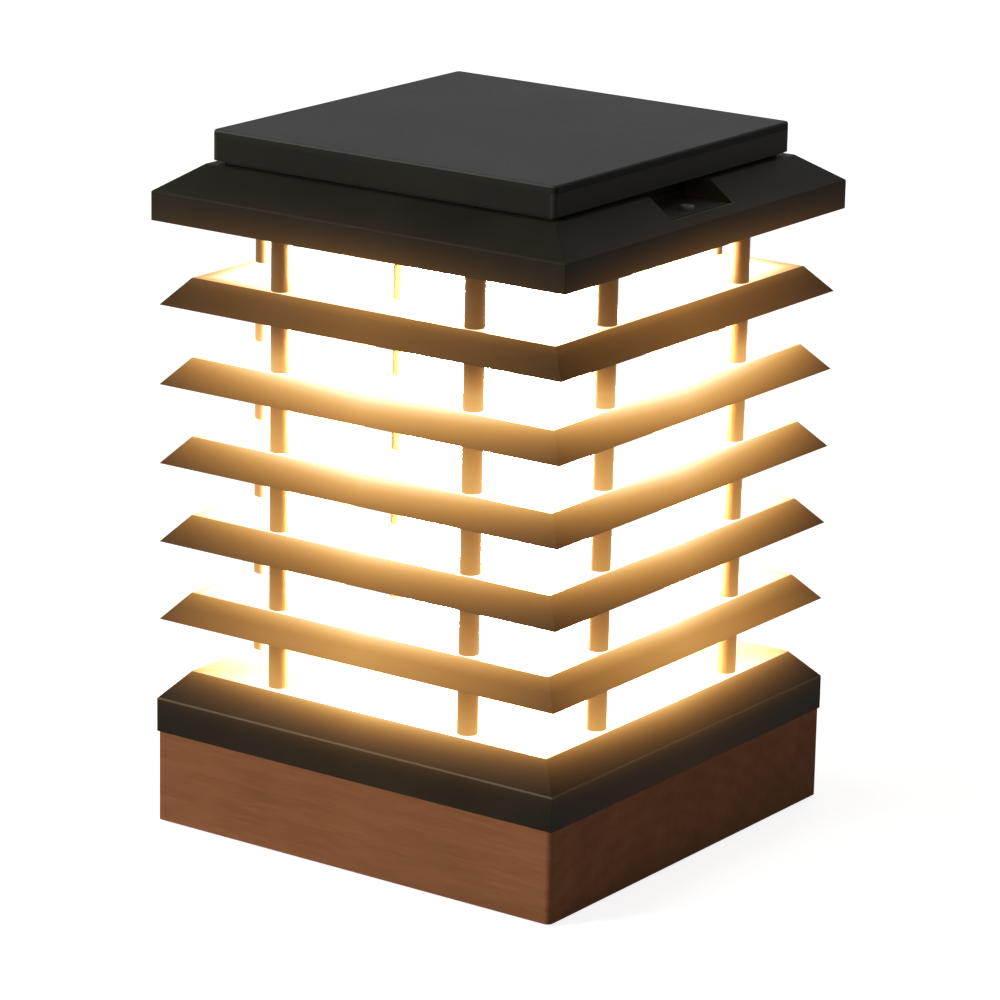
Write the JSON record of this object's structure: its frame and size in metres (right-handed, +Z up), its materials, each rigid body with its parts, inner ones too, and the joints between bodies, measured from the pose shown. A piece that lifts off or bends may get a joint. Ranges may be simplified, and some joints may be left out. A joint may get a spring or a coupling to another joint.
{
  "type": "solar table lamp",
  "caption": "Square solar table lantern: wood block, hipped base plate, stacked mitred slats on posts round a lit opal tube, hipped roof and a flat lift-off solar cap with a power button.",
  "frame": {"origin": "middle of the flat surface that the rubber feet stand on", "axes": "+Z up, X and Y square to the lamp's sides, +X towards the side with the finger notch and the power button"},
  "size_m": [0.187, 0.187, 0.2706],
  "materials": {
    "wood": "satin",
    "black_coat": "matte",
    "slat_brown": "satin",
    "post_bronze": "satin",
    "cap_black": "satin",
    "panel_smoke": "satin",
    "panel_board": "matte",
    "silicon": "gloss",
    "opal": "satin",
    "led": "satin",
    "rubber": "matte",
    "steel": "satin",
    "battery": "satin",
    "circuit_board": "satin",
    "components": "matte",
    "white_board": "satin",
    "button_grey": "satin",
    "lead_red": "satin"
  },
  "bodies": {
    "lantern": {"rubber_feet": "rubber", "wood_base": "wood", "base_screws": "steel", "base_plate": "black_coat", "rod_nuts_lower": "steel", "tie_rods": "steel", "spacers_1": "post_bronze", "spacers_2": "post_bronze", "spacers_3": "post_bronze", "spacers_4": "post_bronze", "spacers_5": "post_bronze", "spacers_6": "post_bronze", "slat_frame_1": "slat_brown", "slat_frame_2": "slat_brown", "slat_frame_3": "slat_brown", "slat_frame_4": "slat_brown", "slat_frame_5": "slat_brown", "ceiling_plate": "black_coat", "rod_nuts_upper": "steel", "roof_frame": "black_coat", "roof_screws": "steel", "roof_gasket": "rubber", "diffuser_tube": "opal", "tube_rings": "rubber"},
    "solar_module": {"module_housing": "cap_black", "panel_cover": "panel_smoke", "solar_panel": "panel_board", "solar_cells": "silicon", "module_floor": "cap_black", "floor_screws": "steel", "battery_holder": "cap_black", "battery_cells": "battery", "battery_contacts": "steel", "control_board": "circuit_board", "board_parts": "components", "light_board": "white_board", "light_leds": "led", "light_lens": "opal", "switch_cover": "cap_black", "switch_cover_screws": "steel", "switch_board": "circuit_board", "switch_plunger": "steel", "button_spring": "steel", "panel_leads": "lead_red", "battery_leads": "lead_red", "light_leads": "lead_red", "button_leads": "lead_red"},
    "button": {"power_button": "button_grey"}
  },
  "joints": [
    {"name": "module_lift", "type": "slide", "parent": "lantern", "child": "solar_module", "axis": [0, 0, 1], "range_m": [0, 0.06]},
    {"name": "button_press", "type": "slide", "parent": "solar_module", "child": "button", "axis": [0, 0, -1], "range_m": [0, 0.0012], "stiffness_N_per_m": 400, "springref_m": -0.001, "deforming": ["button_spring"]}
  ]
}
